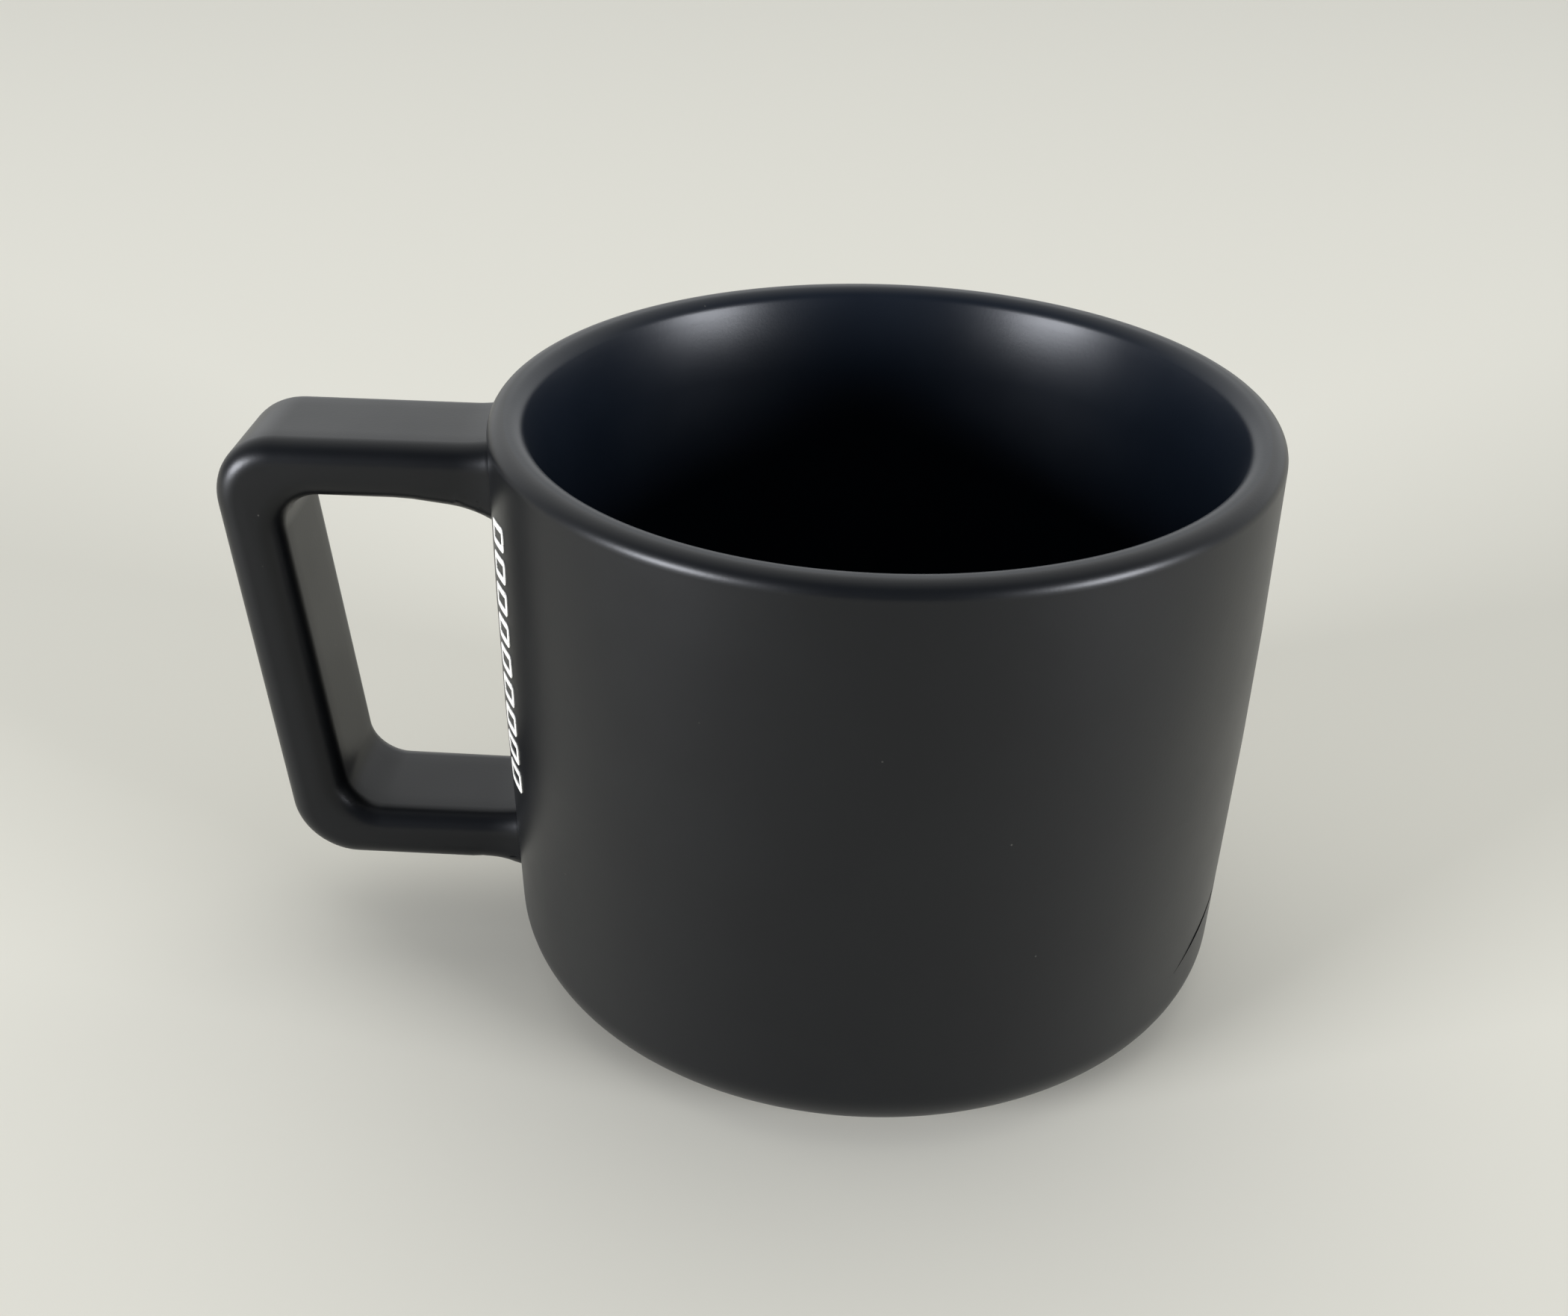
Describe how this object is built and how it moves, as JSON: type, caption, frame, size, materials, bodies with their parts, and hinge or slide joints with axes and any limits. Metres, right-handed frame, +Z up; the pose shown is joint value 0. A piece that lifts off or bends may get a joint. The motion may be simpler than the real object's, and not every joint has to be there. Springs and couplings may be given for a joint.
{
  "type": "ceramic mug",
  "caption": "Low, wide glazed stoneware mug with an upright wall, rounded lower corner, full round lip and a square loop handle.",
  "frame": {"origin": "centre of the foot ring, on the surface that the mug stands on", "axes": "+Z up along the cup's axis, -X towards the handle, so +X is the side opposite the handle"},
  "size_m": [0.1302, 0.0964, 0.0765],
  "materials": {
    "stoneware_clay": "matte",
    "joining_slip": "matte",
    "liner_glaze": "satin",
    "outside_glaze": "satin",
    "white_overglaze": "satin"
  },
  "bodies": {
    "root": {"cup_body": "stoneware_clay", "handle": "stoneware_clay", "upper_slip_joint": "joining_slip", "lower_slip_joint": "joining_slip", "liner_glaze": "liner_glaze", "outside_glaze": "outside_glaze", "underside_glaze": "outside_glaze", "printed_marks": "white_overglaze"}
  },
  "joints": []
}
